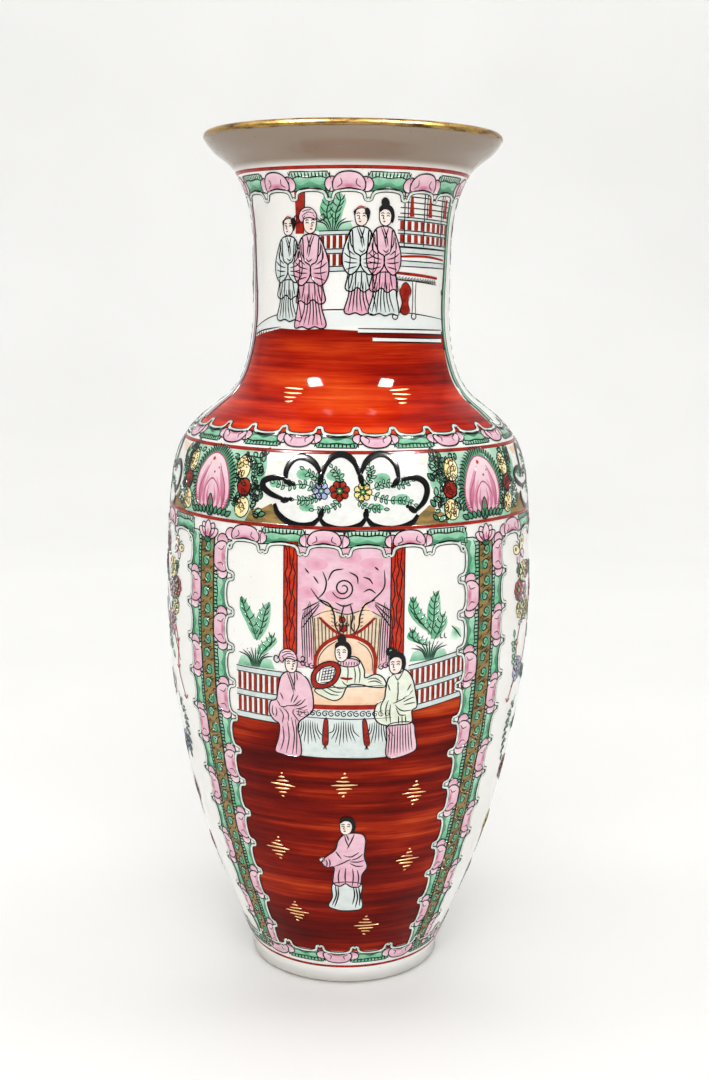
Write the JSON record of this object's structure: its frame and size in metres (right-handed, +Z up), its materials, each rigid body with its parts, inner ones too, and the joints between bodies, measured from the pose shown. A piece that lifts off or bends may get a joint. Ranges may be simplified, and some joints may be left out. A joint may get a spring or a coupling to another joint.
{
  "type": "porcelain baluster vase",
  "caption": "Porcelain baluster vase with a tall body, cylindrical neck, flared gilt-lipped mouth and turned foot ring.",
  "frame": {"origin": "centre of the foot ring's resting plane", "axes": "+Z up along the vase's axis, from the foot to the mouth; the front panel of the painted decoration faces -Y"},
  "size_m": [0.158, 0.158, 0.3601],
  "materials": {
    "biscuit": "unglazed, matte, wiped foot rim",
    "porcelain": "fired white clay under the glaze",
    "glaze": "clear, glossy, faintly warm white",
    "gilding": "worn satin gold",
    "iron_red_enamel": "glossy overglaze enamel"
  },
  "bodies": {
    "root": {"foot_ring": "biscuit", "base_floor": "porcelain", "lower_body": "porcelain", "belly": "porcelain", "shoulder": "porcelain", "neck": "porcelain", "mouth_flare": "porcelain", "clear_glaze": "glaze", "base_glaze": "glaze", "gilt_rim": "gilding", "foot_line": "iron_red_enamel", "belt_line": "iron_red_enamel", "shoulder_line": "iron_red_enamel", "neck_line": "iron_red_enamel"}
  },
  "joints": []
}
